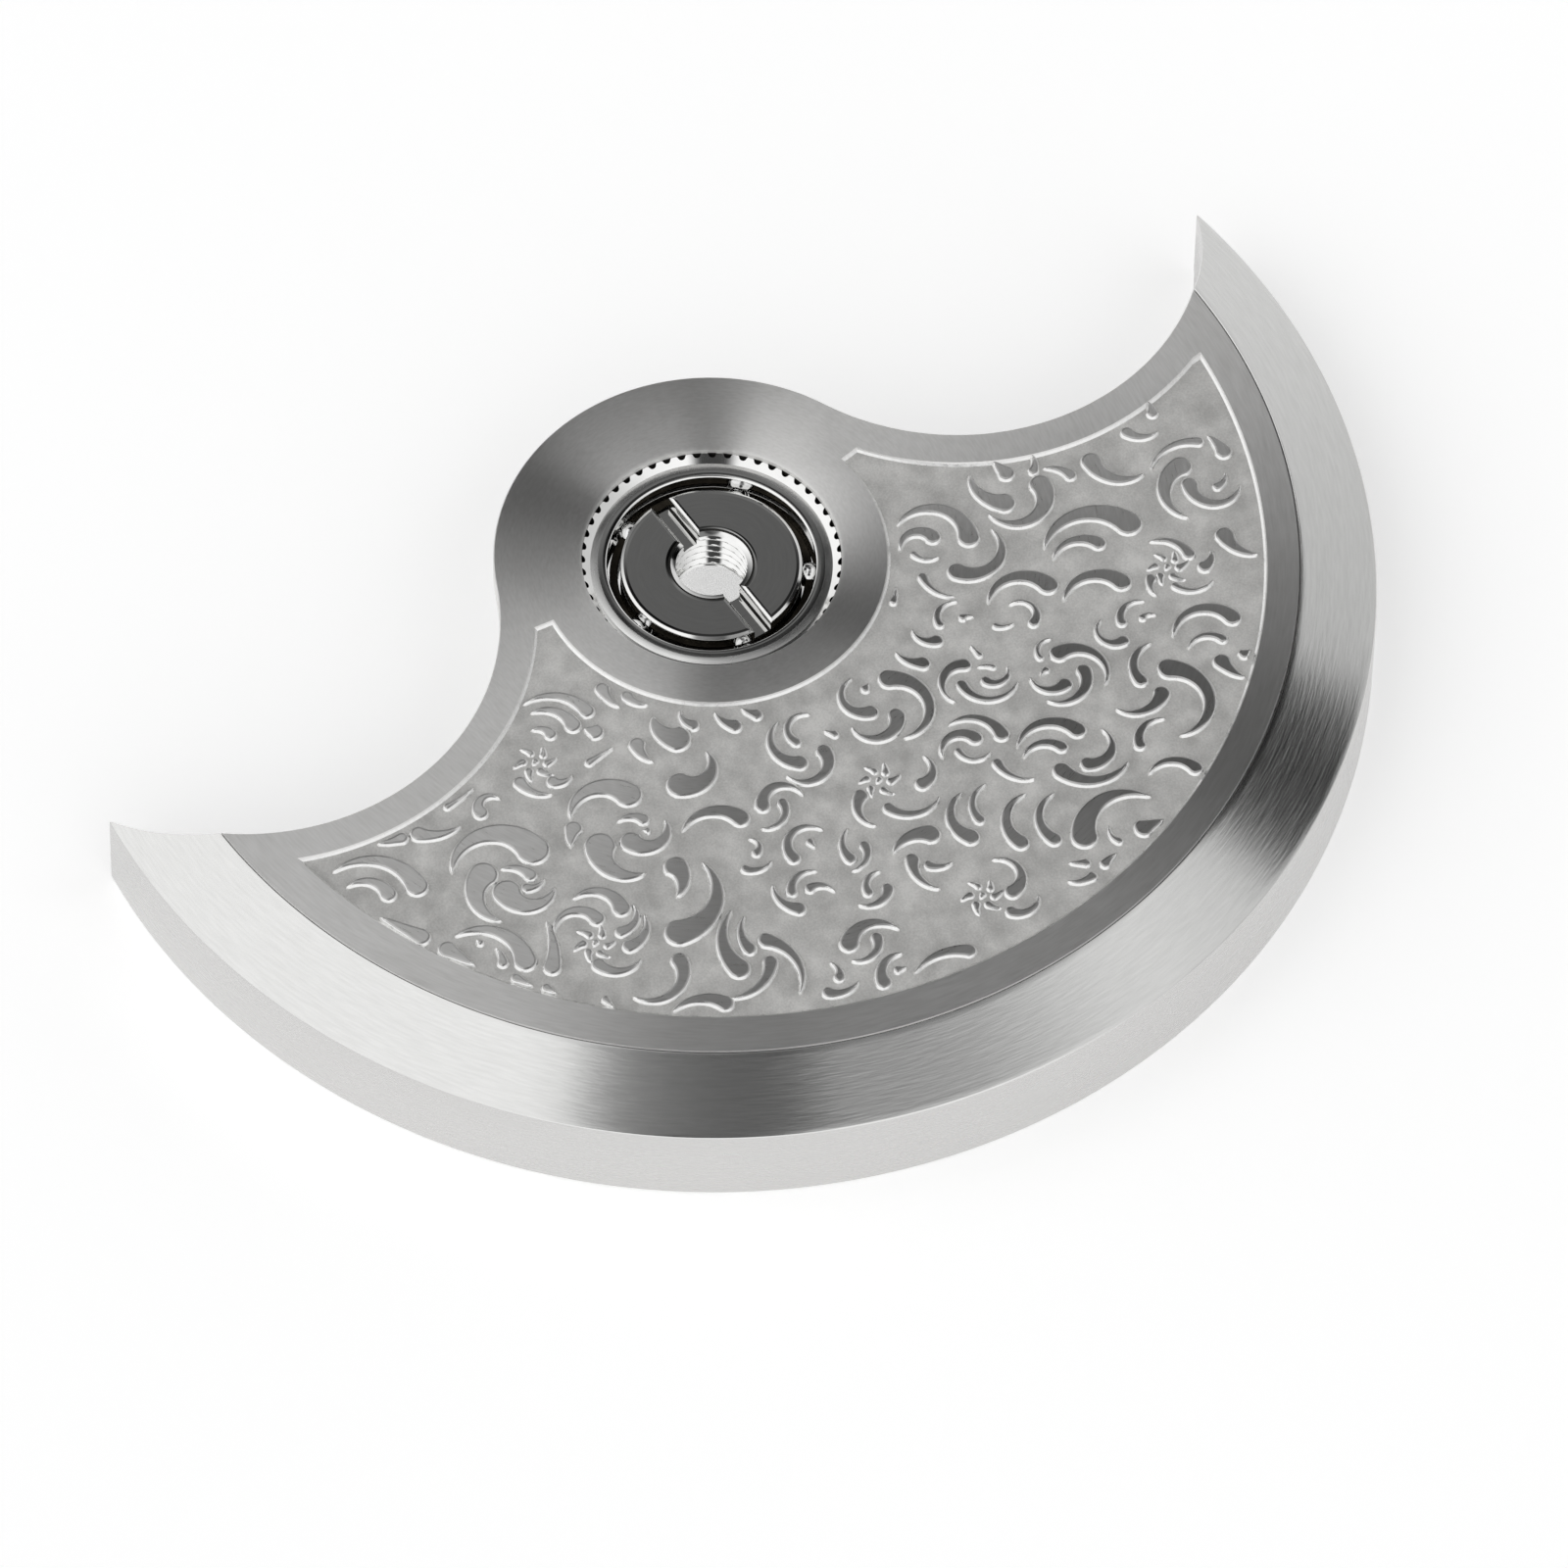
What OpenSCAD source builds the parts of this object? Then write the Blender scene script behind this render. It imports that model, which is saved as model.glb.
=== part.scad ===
// Winding rotor of a self-winding wristwatch, with its central ball bearing.
// Millimetres. The origin is on the axis of the threaded bore, at the face
// on which the bearing core sits. +Z is the side seen through the case back,
// and the heavy rim hangs towards -Y.

/* [Plate] */
// Diameter of the thin plate, up to the step where the rim's bevel starts
plate_d = 22.6; // [21.6:0.1:23.6]
// Thickness of the plate
plate_t = 0.55; // [0.45:0.05:0.75]
// Diameter of the round hub around the bearing
hub_d = 8.38; // [7.8:0.02:9]
// Angle of the flank centres above the X axis
flank_angle = 24.35; // [20:0.05:28]
// Angle of the rim's two tips above the X axis
tip_angle = 8; // [4:0.5:12]

/* [Engraved field] */
// Outer diameter of the sunk field
field_d = 21; // [20:0.1:21.4]
// Diameter of the raised round boss that the field leaves around the hub
boss_d = 6.76; // [6.2:0.02:7.4]
// Width of the raised border along the flanks
field_margin = 0.67; // [0.4:0.01:1]
// Angle above the X axis at which the field ends beside the hub
field_end_angle = 8; // [4:1:14]
// Depth of the field below the plate's face
field_depth = 0.06; // [0.03:0.01:0.15]

/* [Heavy rim] */
// Outer diameter of the rotor
rotor_d = 25.6; // [24.6:0.1:27]
// Height of the rim at its outer wall, bevel included
rim_h = 2.66; // [2:0.02:3.2]
// Fall of the bevel from the plate's edge to the outer wall
bevel_fall = 0.68; // [0.4:0.02:0.9]
// Width of the rim where it hangs below the plate
rim_w = 2.8; // [2:0.1:4]
// Small chamfer on the rim's lower corners
rim_chamfer = 0.1; // [0.05:0.01:0.2]
// Film of adhesive between the plate and the rim
glue_gap = 0.01; // [0:0.005:0.03]

/* [Bearing ring] */
// Number of winding teeth around the ring
tooth_count = 52; // [40:1:60]
// Diameter over the tooth tips, which press into the plate
gear_d = 5; // [4.9:0.02:5.4]
// Depth of the tooth gaps
tooth_depth = 0.12; // [0.1:0.01:0.2]
// Height of the ring's flat face above its lower end
ring_h = 1.06; // [0.98:0.01:1.2]
// Depth of the ring's face below the plate's face
ring_sink = 0.22; // [0.15:0.01:0.3]
// Distance from the tooth tips in to the edge of the flat face, where the rivet groove starts
face_inset = 0.32; // [0.24:0.01:0.34]
// Depth of the rivet groove below the flat face
rivet_depth = 0.03; // [0.02:0.005:0.06]
// Width of the raised lip that the rivet groove turns out against the plate
lip_w = 0.17; // [0.13:0.01:0.2]
// Rise of the lip from the bottom of the groove to the tooth tips
lip_rise = 0.13; // [0.08:0.01:0.15]
// Wall of the ring, from its bore to the tooth tips
ring_wall = 0.49; // [0.46:0.01:0.6]
// Width of the collar on which the plate seats
collar_w = 0.3; // [0.25:0.05:0.6]
// Thickness of the collar
collar_t = 0.12; // [0.08:0.01:0.2]
// Small bevel on the ring's bore and the plate's hole
edge_bevel = 0.03; // [0.02:0.005:0.05]

/* [Bearing core] */
// Gap between the ring's bore and the core
core_gap = 0.26; // [0.22:0.01:0.3]
// Height of the core
core_h = 1.12; // [1.06:0.01:1.3]
// Depth of the core's face below the plate's face
core_sink = 0.26; // [0.2:0.01:0.4]
// Width of the core's flange beyond the neck, where the cone sits under it
flange_w = 0.45; // [0.4:0.01:0.55]
// Nominal diameter of the thread in the bore
thread_d = 1.6; // [1.4:0.05:1.8]
// Width of the driver slot across the core
slot_w = 0.37; // [0.25:0.01:0.5]
// Depth of the driver slot
slot_depth = 0.33; // [0.2:0.01:0.36]
// Small chamfer on the core's edges
core_chamfer = 0.035; // [0.02:0.005:0.05]
// Height of the cone's lower face above the seat
cone_lift = 0.06; // [0.04:0.01:0.1]

/* [Balls and cage] */
// Number of balls
ball_count = 5; // [5:1:5]
// Diameter of a ball
ball_d = 0.5; // [0.4:0.02:0.54]
// Height of the ball centres above the seat
ball_z = 0.6; // [0.56:0.01:0.64]
// Running clearance between a ball and its races
race_clearance = 0.01; // [0.01:0.005:0.03]
// Angle of the first ball around the axis
first_ball_angle = 41; // [0:1:71]
// Clearance of the cage inside the ring and around the core
cage_clearance = 0.05; // [0.03:0.005:0.08]
// Reach of the cage below the ball centres
cage_drop = 0.33; // [0.31:0.01:0.37]
// Reach of the cage above the ball centres, where its pockets stay open
cage_rise = 0.15; // [0.12:0.01:0.17]
// Clearance of a ball in its pocket
pocket_clearance = 0.02; // [0.01:0.005:0.03]

/* [Hidden] */
$fn = 120;
cut = 1;
plate_top = core_h + core_sink;
plate_bottom = plate_top - plate_t;
rim_bottom = plate_top - rim_h;
rim_inner_r = rotor_d / 2 - rim_w;
flank_r = flank_through(hub_d / 2, rotor_d / 2, flank_angle - tip_angle);
flank_reach = hub_d / 2 + flank_r;
ring_top = plate_top - ring_sink;
ring_bottom = ring_top - ring_h;
ring_bore_d = gear_d - 2 * ring_wall;
core_d = ring_bore_d - 2 * core_gap;
neck_d = core_d - 2 * flange_w;
tooth_step = 360 / tooth_count;
race_r = (core_d + ring_bore_d) / 4;
groove_r = ball_d / 2 + race_clearance;
ball_step = 360 / ball_count;

// Radius of the flank that touches the hub and runs through a rim tip, with
// the given angle between its centre and the tip.
function flank_through(hub, outer, angle) =
    (hub * hub + outer * outer - 2 * hub * outer * cos(angle)) / (2 * (outer * cos(angle) - hub));

// Angle above the X axis at which a flank of radius r meets a circle of radius reach.
function flank_meets(r, reach) =
    flank_angle - acos((reach * reach + flank_reach * flank_reach - r * r) / (2 * reach * flank_reach));

function polar(r, angle) = [r * cos(angle), r * sin(angle)];

// The two flank circles, one on each side of the hub.
module flanks(r) {
    for (side = [-1, 1])
        translate([side * flank_reach * cos(flank_angle), flank_reach * sin(flank_angle)])
            circle(r = r);
}

// Everything below two rays that start at the axis.
module below_rays(angle) {
    far = 2 * rotor_d;
    polygon([[0, 0], polar(far, angle), [far, -far], [-far, -far], polar(far, 180 - angle)]);
}

// The half-moon outline out to the given radius, without its hub. It ends on a
// line from each flank's centre to a point of the flank just beyond the rim.
module half_moon(reach) {
    beyond = (rotor_d / 2 + flank_reach + flank_r) / 2;
    tip = polar(beyond, flank_meets(flank_r, beyond));
    flank = polar(flank_reach, flank_angle);
    far = 2 * rotor_d;
    out = flank + (tip - flank) * 2;
    difference() {
        intersection() {
            circle(r = reach);
            polygon([
                [0, 0], flank, out, [far, -far], [-far, -far], [-out.x, out.y], [-flank.x, flank.y]
            ]);
        }
        flanks(flank_r);
    }
}

module rotor_plate() {
    color([0.74, 0.74, 0.73])
    difference() {
        translate([0, 0, plate_bottom])
            linear_extrude(plate_t) {
                half_moon(plate_d / 2 - glue_gap);
                circle(d = hub_d);
            }
        translate([0, 0, plate_top - field_depth])
            linear_extrude(field_depth + cut)
                field();
        translate([0, 0, plate_bottom - cut])
            cylinder(d = gear_d, h = plate_t + 2 * cut);
        translate([0, 0, plate_top - edge_bevel])
            cylinder(d1 = gear_d, d2 = gear_d + 4 * edge_bevel, h = 2 * edge_bevel);
    }
}

// The sunk field: the half-moon inside its raised border.
module field() {
    difference() {
        intersection() {
            circle(d = field_d);
            below_rays(field_end_angle);
        }
        flanks(flank_r + field_margin);
        circle(d = boss_d);
    }
}

// The heavy segment: a bevelled ring whose ledge carries the plate's edge.
module rim_weight() {
    outer = rotor_d / 2;
    ledge = plate_bottom - glue_gap;
    color([0.80, 0.80, 0.79])
    intersection() {
        rotate_extrude()
            polygon([
                [plate_d / 2, plate_top],
                [outer, plate_top - bevel_fall],
                [outer, rim_bottom + rim_chamfer],
                [outer - rim_chamfer, rim_bottom],
                [rim_inner_r + rim_chamfer, rim_bottom],
                [rim_inner_r, rim_bottom + rim_chamfer],
                [rim_inner_r, ledge],
                [plate_d / 2, ledge]
            ]);
        translate([0, 0, rim_bottom - cut])
            linear_extrude(rim_h + 2 * cut)
                half_moon(outer + cut);
    }
}

// The gap between two winding teeth, wide at the tips and narrow at the root.
module tooth_gap() {
    tip = gear_d / 2;
    shoulder = tip - tooth_depth / 4;
    root = tip - tooth_depth;
    polygon([
        polar(root, -0.15 * tooth_step), polar(shoulder, -0.24 * tooth_step),
        polar(tip, -0.36 * tooth_step), polar(tip + cut, -0.36 * tooth_step),
        polar(tip + cut, 0.36 * tooth_step), polar(tip, 0.36 * tooth_step),
        polar(shoulder, 0.24 * tooth_step), polar(root, 0.15 * tooth_step)
    ]);
}

// The outer race. Its winding teeth run over its whole height: the upper end
// presses into the plate, where the rivet groove turns its lip out, the collar
// seats under the plate and the lower end drives.
module bearing_outer_ring() {
    bore = ring_bore_d / 2;
    color([0.62, 0.62, 0.61])
    difference() {
        union() {
            difference() {
                rotate_extrude()
                    polygon([
                        [bore, ring_bottom + edge_bevel],
                        [bore + edge_bevel, ring_bottom],
                        [gear_d / 2 - edge_bevel, ring_bottom],
                        [gear_d / 2, ring_bottom + edge_bevel],
                        [gear_d / 2, ring_top - rivet_depth + lip_rise],
                        [gear_d / 2 - lip_w, ring_top - rivet_depth],
                        [gear_d / 2 - face_inset, ring_top],
                        [bore + edge_bevel, ring_top],
                        [bore, ring_top - edge_bevel]
                    ]);
                translate([0, 0, ring_bottom - cut])
                    linear_extrude(ring_h + lip_rise + 2 * cut)
                        for (i = [0 : tooth_count - 1])
                            rotate(i * tooth_step)
                                tooth_gap();
            }
            rotate_extrude()
                translate([gear_d / 2 - 1.2 * tooth_depth, plate_bottom - collar_t])
                    square([collar_w + 1.2 * tooth_depth, collar_t]);
        }
        race_groove();
    }
}

// The round groove in which the balls run.
module race_groove() {
    rotate_extrude()
        translate([race_r, ball_z])
            circle(r = groove_r);
}

// The inner race's upper half, with its neck, threaded bore and driver slot.
module bearing_core() {
    rim = core_d / 2;
    neck = neck_d / 2;
    bore = thread_d / 2;
    color([0.42, 0.42, 0.41])
    difference() {
        rotate_extrude()
            polygon([
                [bore, core_chamfer],
                [bore + core_chamfer, 0],
                [neck, 0],
                [neck, ball_z],
                [rim, ball_z],
                [rim, core_h - core_chamfer],
                [rim - core_chamfer, core_h],
                [bore + core_chamfer, core_h],
                [bore, core_h - core_chamfer]
            ]);
        race_groove();
        translate([-slot_w / 2, -rim - cut, core_h - slot_depth])
            cube([slot_w, core_d + 2 * cut, slot_depth + cut]);
    }
}

// The inner race's lower half, a ring pressed on the core's neck.
module bearing_cone() {
    rim = core_d / 2;
    neck = neck_d / 2;
    color([0.50, 0.50, 0.49])
    difference() {
        rotate_extrude()
            polygon([
                [neck, cone_lift],
                [rim - core_chamfer, cone_lift],
                [rim, cone_lift + core_chamfer],
                [rim, ball_z],
                [neck, ball_z]
            ]);
        race_groove();
    }
}

// The ring that keeps the balls apart. Its round pockets are open at the top,
// and narrow enough there to keep the balls in.
module ball_cage() {
    inner = core_d / 2 + cage_clearance;
    outer = ring_bore_d / 2 - cage_clearance;
    color([0.55, 0.50, 0.42])
    difference() {
        rotate_extrude()
            translate([inner, ball_z - cage_drop])
                square([outer - inner, cage_drop + cage_rise]);
        for (i = [0 : ball_count - 1])
            ball_place(i)
                sphere(d = ball_d + 2 * pocket_clearance);
    }
}

module ball_place(i) {
    rotate([0, 0, first_ball_angle + i * ball_step])
        translate([race_r, 0, ball_z])
            children();
}

module ball(i) {
    color([0.85, 0.85, 0.86])
    ball_place(i)
        sphere(d = ball_d);
}

rotor_plate();
rim_weight();
bearing_outer_ring();
bearing_core();
bearing_cone();
ball_cage();
ball(0);  // ball_1
ball(1);  // ball_2
ball(2);  // ball_3
ball(3);  // ball_4
ball(4);  // ball_5
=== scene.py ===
import math

import bmesh
import bpy
import numpy as np
from mathutils import Matrix, Vector
from mathutils.geometry import delaunay_2d_cdt


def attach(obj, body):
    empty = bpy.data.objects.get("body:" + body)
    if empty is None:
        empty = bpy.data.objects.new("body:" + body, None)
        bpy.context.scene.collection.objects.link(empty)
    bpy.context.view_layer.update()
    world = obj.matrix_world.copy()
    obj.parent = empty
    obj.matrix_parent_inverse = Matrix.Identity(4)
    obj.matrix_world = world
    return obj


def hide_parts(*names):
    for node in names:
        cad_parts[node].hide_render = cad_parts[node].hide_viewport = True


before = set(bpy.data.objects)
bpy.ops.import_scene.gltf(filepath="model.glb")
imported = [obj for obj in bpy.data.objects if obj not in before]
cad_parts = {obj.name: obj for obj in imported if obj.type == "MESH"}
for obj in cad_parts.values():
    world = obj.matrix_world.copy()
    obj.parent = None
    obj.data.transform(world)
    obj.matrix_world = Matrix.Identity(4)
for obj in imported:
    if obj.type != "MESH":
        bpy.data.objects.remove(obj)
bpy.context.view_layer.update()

# Lengths are written in millimetres and turned into metres by this factor.
MM = 0.001

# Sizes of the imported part, as its source has them.
PLATE_R = 11.29
PLATE_TOP = 1.38
PLATE_BOTTOM = 0.83
HUB_R = 4.19
HOLE_R = 2.5
FLANK_R = 4.848
FLANK_ANGLE = 24.35
FLANK_REACH = HUB_R + FLANK_R
FIELD_R = 10.5
FIELD_BULGE = 0.16
FIELD_BULGE_ANGLE = -40.0
FIELD_MARGIN = 0.67
FIELD_END_ANGLE = 8.0
FIELD_DEPTH = 0.06
BOSS_R = 3.38
RIM_R = 12.8
RIM_STEP_R = 11.3
RIM_INNER_R = 10.0
RIM_LEDGE = 0.82
BEVEL_LOW = 0.70
RIM_BOTTOM = -1.28
RIM_CHAMFER = 0.1
GEAR_R = 2.5
TOOTH_COUNT = 52
TOOTH_DEPTH = 0.12
LIP_GAP = 0.07
RING_TOP = 1.16
RING_BOTTOM = 0.10
RING_FACE_R = 2.185
RIVET_R = 2.33
RIVET_DEPTH = 0.03
LIP_RISE = 0.13
RING_BORE_R = 2.01
COLLAR_R = 2.8
COLLAR_T = 0.12
LIP_TOP = RING_TOP - RIVET_DEPTH + LIP_RISE
CORE_R = 1.75
CORE_H = 1.12
NECK_R = 1.3
THREAD_R = 0.8
THREAD_PITCH = 0.2
THREAD_HEIGHT = 0.11
SLOT_W = 0.37
SLOT_DEPTH = 0.33
SLOT_CHAMFER = 0.055
CORE_CHAMFER = 0.035
MOUTH_R = 0.82
MOUTH_DEPTH = 0.062
CORE_BEVEL_W = 0.06
CORE_BEVEL_FALL = 0.028
CONE_LIFT = 0.06
RACE_R = 1.88
GROOVE_R = 0.26
BALL_Z = 0.6
BALL_R = 0.25
BALL_COUNT = 5
FIRST_BALL_ANGLE = 41.0
CAGE_INNER_R = 1.80
CAGE_OUTER_R = 1.96
CAGE_DROP = 0.33
CAGE_RISE = 0.15
POCKET_R = 0.27

# The photo's camera, solved from the round edges of the rotor.
CAMERA_AZIMUTH = -35.11
CAMERA_ELEVATION = 55.752
CAMERA_DISTANCE = 328.36
CAMERA_PAN = -0.2456
CAMERA_TILT = -0.7614
CAMERA_ROLL = -0.9290
CAMERA_LENS = 392.85
CAMERA_AIM = (0.051, 0.019)


def sin(angle):
    return math.sin(math.radians(angle))


def cos(angle):
    return math.cos(math.radians(angle))


def polar(radius, angle):
    return (radius * cos(angle), radius * sin(angle))


def make_camera():
    """A long lens at the photo's angle. Pan, tilt and roll are small and come from the photo."""
    turn = Matrix.Rotation(math.radians(CAMERA_AZIMUTH), 3, "Z")
    height = CAMERA_DISTANCE * sin(CAMERA_ELEVATION)
    place = Vector((0, -CAMERA_DISTANCE * cos(CAMERA_ELEVATION), height))
    ahead = -place.normalized()
    right = Vector((1, 0, 0))
    up = right.cross(ahead)
    pan = Matrix.Rotation(math.radians(CAMERA_PAN), 3, up)
    ahead, right = pan @ ahead, pan @ right
    tilt = Matrix.Rotation(math.radians(CAMERA_TILT), 3, right)
    ahead, up = tilt @ ahead, tilt @ up
    roll = Matrix.Rotation(math.radians(CAMERA_ROLL), 3, ahead)
    right, up = roll @ right, roll @ up
    place = turn @ (place + Vector((*CAMERA_AIM, 0))) + Vector((0, 0, PLATE_TOP))
    axes = [turn @ axis for axis in (right, up, -ahead)]
    data = bpy.data.cameras.new("photo_camera")
    data.sensor_width = 36
    data.lens = CAMERA_LENS
    data.clip_start = 0.01
    camera = bpy.data.objects.new("photo_camera", data)
    camera.matrix_world = Matrix.Translation(place * MM) @ Matrix(axes).transposed().to_4x4()
    bpy.context.scene.collection.objects.link(camera)
    bpy.context.scene.camera = camera


make_camera()


# Mesh helpers

SHARP_ANGLE = math.radians(28)
# The least upward part of a level face's normal.
LEVEL = 0.9975


def raw_object(name, points, faces):
    """A cleaned mesh object in millimetres, without material or body."""
    mesh = bpy.data.meshes.new(name)
    mesh.from_pydata([Vector(p) * MM for p in points], [], faces)
    mesh.validate()
    clean(mesh)
    piece = bpy.data.objects.new(name, mesh)
    bpy.context.scene.collection.objects.link(piece)
    return piece


def make_piece(name, points, faces, body, slot, material, nodes=()):
    """A mesh piece that rides on a body and stands for the given nodes."""
    piece = raw_object(name, points, faces)
    finish_piece(piece, body, slot, material, nodes)
    return piece


def finish_piece(piece, body, slot, material, nodes):
    """Smooth shading with sharp edges, a texture space centred on the axis, and the piece's body."""
    mesh = piece.data
    mesh.polygons.foreach_set("use_smooth", [True] * len(mesh.polygons))
    mesh.set_sharp_from_angle(angle=SHARP_ANGLE)
    mesh.use_auto_texspace = False
    mesh.texspace_location = (0, 0, 0)
    mesh.texspace_size = (RIM_R * MM, RIM_R * MM, RIM_R * MM)
    mesh.materials.clear()
    mesh.materials.append(material)
    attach(piece, body)
    if nodes:
        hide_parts(*nodes)


def radius_of(face):
    return math.hypot(face.center.x, face.center.y) / MM


def height_of(face):
    return face.center.z / MM


def paint(piece, material, chosen):
    """Gives a further material to the faces for which chosen is true."""
    slot = len(piece.data.materials)
    piece.data.materials.append(material)
    for face in piece.data.polygons:
        if chosen(face):
            face.material_index = slot


def paint_walls(piece, material, steepness):
    """Paints every face that is steeper than the level ones."""
    paint(piece, material, lambda face: abs(face.normal.z) < steepness)


def paint_dark_lines(core):
    """Painted shade: a painted shadow where the slot's wall meets its floor, a fine dark line at the wall's
    upper edge, and a dark ring round the mouth of the bore.
    """
    upper = CORE_H - SLOT_CHAMFER - 0.008
    lower = CORE_H - SLOT_DEPTH + 0.022

    def on_slot(face):
        height = height_of(face)
        level = abs(height - upper) < 0.009 or abs(height - lower) < 0.023
        return level and 0.2 < abs(face.normal.z) < 0.75 and 0 < face.center.x / MM < SLOT_W / 2 + 0.01

    def on_mouth(face):
        near = MOUTH_R - 0.033 < radius_of(face) < MOUTH_R + 0.011
        return near and CORE_H - 0.022 < height_of(face) < CORE_H - 0.0005

    paint(core, gap_shade, lambda face: on_slot(face) or on_mouth(face))


def paint_gap_shade(piece, inner, outer):
    """Paints shade: gives the near-black gap material to upright faces between two radii, inside the plate's
    hole.
    """
    paint(piece, gap_shade, lambda face: inner < radius_of(face) < outer
          and PLATE_BOTTOM < height_of(face) < LIP_TOP - 0.012 and abs(face.normal.z) < 0.5)


def flatten(piece, level):
    """Flat shading for the faces that look straight up."""
    for face in piece.data.polygons:
        if face.normal.z > level:
            face.use_smooth = False


def bridge(rows, columns):
    """Quads between closed rows of equally many points, stored row after row."""
    faces = []
    for row in range(rows - 1):
        low = row * columns
        for i in range(columns):
            j = (i + 1) % columns
            faces.append((low + i, low + j, low + columns + j, low + columns + i))
    return faces


def shell(rows):
    """Points and quads of a stack of closed rows, the last joined to the first."""
    columns = len(rows[0])
    faces = bridge(len(rows), columns)
    last = (len(rows) - 1) * columns
    for i in range(columns):
        j = (i + 1) % columns
        faces.append((last + i, last + j, j, i))
    return [p for row in rows for p in row], faces


def turned_row(r, z, steps):
    return [(*polar(r, 360 * i / steps), z) for i in range(steps)]


def lathe(profile, steps):
    """Points and quads of a closed profile of (r, z) turned about the axis."""
    return shell([turned_row(r, z, steps) for r, z in profile])


def arc(centre, radius, start, end, steps):
    """Points on an arc, both ends included."""
    angles = [start + (end - start) * i / steps for i in range(steps + 1)]
    return [(centre[0] + radius * cos(a), centre[1] + radius * sin(a)) for a in angles]


def heading(centre, point):
    return math.degrees(math.atan2(point[1] - centre[1], point[0] - centre[0]))


def flat_face(loops, z, points, faces):
    """Fills the plane between an outer loop and any loops inside it, at one height."""
    flat = [Vector(p) for loop in loops for p in loop]
    edges = []
    start = 0
    for loop in loops:
        n = len(loop)
        edges += [(start + i, start + (i + 1) % n) for i in range(n)]
        start += n
    found, _, triangles, _, _, _ = delaunay_2d_cdt(flat, edges, [], 1, 1e-7)
    first = len(points)
    points += [(p.x, p.y, z) for p in found]
    for triangle in triangles:
        middle = sum((found[i] for i in triangle), Vector((0, 0))) / 3
        if inside(middle, loops[0]) and not any(inside(middle, hole) for hole in loops[1:]):
            faces.append(tuple(first + i for i in triangle))


def inside(point, loop):
    """True if the point lies in the loop, by counting crossings."""
    x, y = point
    corners = np.asarray(loop)
    following = np.roll(corners, -1, axis=0)
    straddles = (corners[:, 1] > y) != (following[:, 1] > y)
    rise = np.where(straddles, following[:, 1] - corners[:, 1], 1)
    cross = corners[:, 0] + (y - corners[:, 1]) * (following[:, 0] - corners[:, 0]) / rise
    return bool(np.count_nonzero(straddles & (x < cross)) % 2)


# Outlines

RIM_STEPS = 240
FLANK_STEPS = 80
HUB_STEPS = 100
BOSS_STEPS = 140


def flank_centre(side):
    x, y = polar(FLANK_REACH, FLANK_ANGLE)
    return (side * x, y)


def flank_meets(radius, reach):
    """Angle above the X axis at which a flank circle of this radius meets a circle about the axis."""
    share = (reach**2 + FLANK_REACH**2 - radius**2) / (2 * reach * FLANK_REACH)
    return FLANK_ANGLE - math.degrees(math.acos(share))


def mirror(loop):
    return [(-x, y) for x, y in reversed(loop)]


def plate_outline(inset):
    """The half-moon with its hub, moved inwards by inset. Every inset gives as many points."""
    reach = PLATE_R - inset
    radius = FLANK_R + inset
    tip = flank_meets(radius, reach)
    centre = flank_centre(1)
    rim = arc((0, 0), reach, 180 - tip, 360 + tip, RIM_STEPS)
    low = heading(centre, polar(reach, tip))
    top = FLANK_ANGLE + 180
    flank = arc(centre, radius, low if low > 0 else low + 360, top, FLANK_STEPS)
    hub = arc((0, 0), HUB_R - inset, FLANK_ANGLE, 180 - FLANK_ANGLE, HUB_STEPS)
    return rim + flank[1:] + hub[1:] + mirror(flank)[1:-1]


def crossing(centre, radius, inset):
    """Where a circle meets the field's end, the ray beside the hub, moved down by inset."""
    along = Vector(polar(1, FIELD_END_ANGLE))
    across = Vector((along.y, -along.x))
    offset = Vector(centre) - across * inset
    half = offset.dot(along)
    far = math.sqrt(half**2 - offset.length_squared + radius**2)
    return across * inset, along, half, far


def bulged(loop):
    """The field's outer arc, moved out on the side where the border is narrower."""
    moved = []
    for x, y in loop:
        angle = heading((0, 0), (x, y))
        dx, dy = polar(FIELD_BULGE * max(0, cos(angle - FIELD_BULGE_ANGLE)) ** 2, angle)
        moved.append((x + dx, y + dy))
    return moved


def field_outline(inset):
    """The sunk field, moved inwards by inset."""
    reach = FIELD_R - inset
    radius = FLANK_R + FIELD_MARGIN + inset
    boss = BOSS_R + inset
    centre = flank_centre(1)
    tip = flank_meets(radius, reach)
    base, along, half, far = crossing(centre, radius, inset)
    upper = base + along * (half - far)
    base, along, half, far = crossing((0, 0), boss, inset)
    lower = base + along * (half + far)
    rim = bulged(arc((0, 0), reach, 180 - tip, 360 + tip, RIM_STEPS))
    low = heading(centre, polar(reach, tip)) % 360
    flank = arc(centre, radius, low, heading(centre, upper) % 360, FLANK_STEPS)
    start = heading((0, 0), lower)
    hub = arc((0, 0), boss, start, -180 - start, BOSS_STEPS)
    return rim + flank[1:] + hub + mirror(flank)[:-1]


def circle(radius, steps):
    return arc((0, 0), radius, 0, 360, steps)[:-1]


def ring_walls(loops, points, faces):
    """Walls through a stack of equal loops, each given with its height."""
    first = len(points)
    columns = len(loops[0][0])
    for loop, z in loops:
        points += [(x, y, z) for x, y in loop]
    faces += [tuple(first + i for i in f) for f in bridge(len(loops), columns)]


# Materials

def new_material(name):
    material = bpy.data.materials.new(name)
    material.use_nodes = True
    tree = material.node_tree
    tree.nodes.clear()
    output = tree.nodes.new("ShaderNodeOutputMaterial")
    shader = tree.nodes.new("ShaderNodeBsdfPrincipled")
    tree.links.new(shader.outputs[0], output.inputs[0])
    return material, tree, shader


def number(tree, operation, first, second=None):
    """The result of a Math node. Each value is a number or another node's socket."""
    node = tree.nodes.new("ShaderNodeMath")
    node.operation = operation
    for socket, value in zip(node.inputs, (first, second)):
        if isinstance(value, (int, float)):
            socket.default_value = value
        elif value is not None:
            tree.links.new(value, socket)
    return node.outputs[0]


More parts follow.
